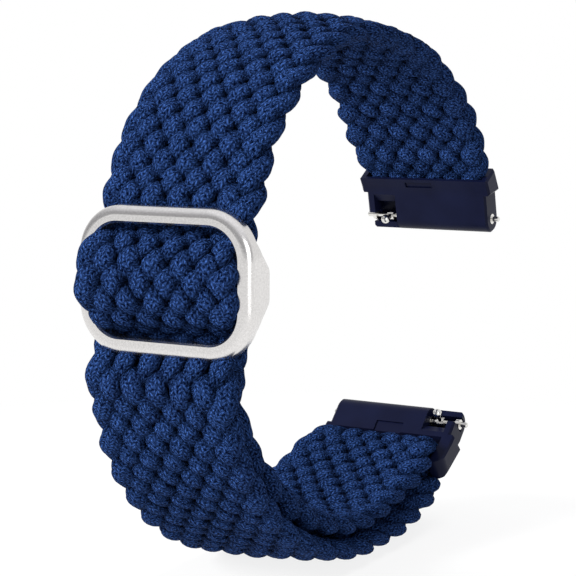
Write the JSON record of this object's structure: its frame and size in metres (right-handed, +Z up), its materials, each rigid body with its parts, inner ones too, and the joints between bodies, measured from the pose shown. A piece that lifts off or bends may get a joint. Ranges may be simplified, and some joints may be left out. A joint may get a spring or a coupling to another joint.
{
  "type": "braided watch strap",
  "caption": "Braided elastic watch strap closed to a loop, with a rounded ring slider, moulded ends and quick-release spring bars.",
  "frame": {"origin": "on the surface it stands on, under the middle of the loop", "axes": "+X across the strap, to the right when the slider faces the viewer; -Y to the slider's front; +Y to the watch ends; +Z up"},
  "size_m": [0.0244, 0.0788, 0.07],
  "materials": {
    "braid": "braided cord",
    "moulding": "satin moulded",
    "satin_metal": "satin",
    "polished_metal": "polished",
    "spring_wire": "drawn wire"
  },
  "bodies": {
    "strap": {"upper_connector": "moulding", "upper_bar_tube": "polished_metal", "upper_fixed_pin": "polished_metal", "upper_bar_spring": "spring_wire", "band_upper_run": "braid", "band_above_buckle": "braid", "band_below_buckle": "braid", "band_lower_run": "braid", "band_connector_fold": "braid", "band_return_run": "braid", "return_below_buckle": "braid"},
    "buckle": {"buckle_frame": "satin_metal", "buckle_cross_bar": "satin_metal", "band_buckle_bulge": "braid", "band_end_loop": "braid"},
    "lower_end": {"lower_connector": "moulding", "lower_bar_tube": "polished_metal", "lower_fixed_pin": "polished_metal", "lower_bar_spring": "spring_wire"},
    "upper_release": {"upper_plunger": "polished_metal", "upper_release_lever": "polished_metal"},
    "lower_release": {"lower_plunger": "polished_metal", "lower_release_lever": "polished_metal"}
  },
  "joints": [
    {"name": "buckle_slide", "type": "hinge", "parent": "strap", "child": "buckle", "pos_m": [0, 0.0033, 0.0387], "axis": [1, 0, 0], "range_deg": [-9.5, 9.5], "deforming": ["band_above_buckle", "band_below_buckle", "return_below_buckle"]},
    {"name": "lower_end_turn", "type": "hinge", "parent": "strap", "child": "lower_end", "pos_m": [0, 0.01984, 0.00766], "axis": [1, 0, 0], "range_deg": [-12, 12]},
    {"name": "upper_release_slide", "type": "slide", "parent": "strap", "child": "upper_release", "axis": [1, 0, 0], "range_m": [0, 0.0011], "stiffness_N_per_m": 300, "springref_m": -0.002, "deforming": ["upper_bar_spring"]},
    {"name": "lower_release_slide", "type": "slide", "parent": "lower_end", "child": "lower_release", "axis": [-1, 0, 0], "range_m": [0, 0.0011], "stiffness_N_per_m": 300, "springref_m": -0.002, "deforming": ["lower_bar_spring"]}
  ]
}
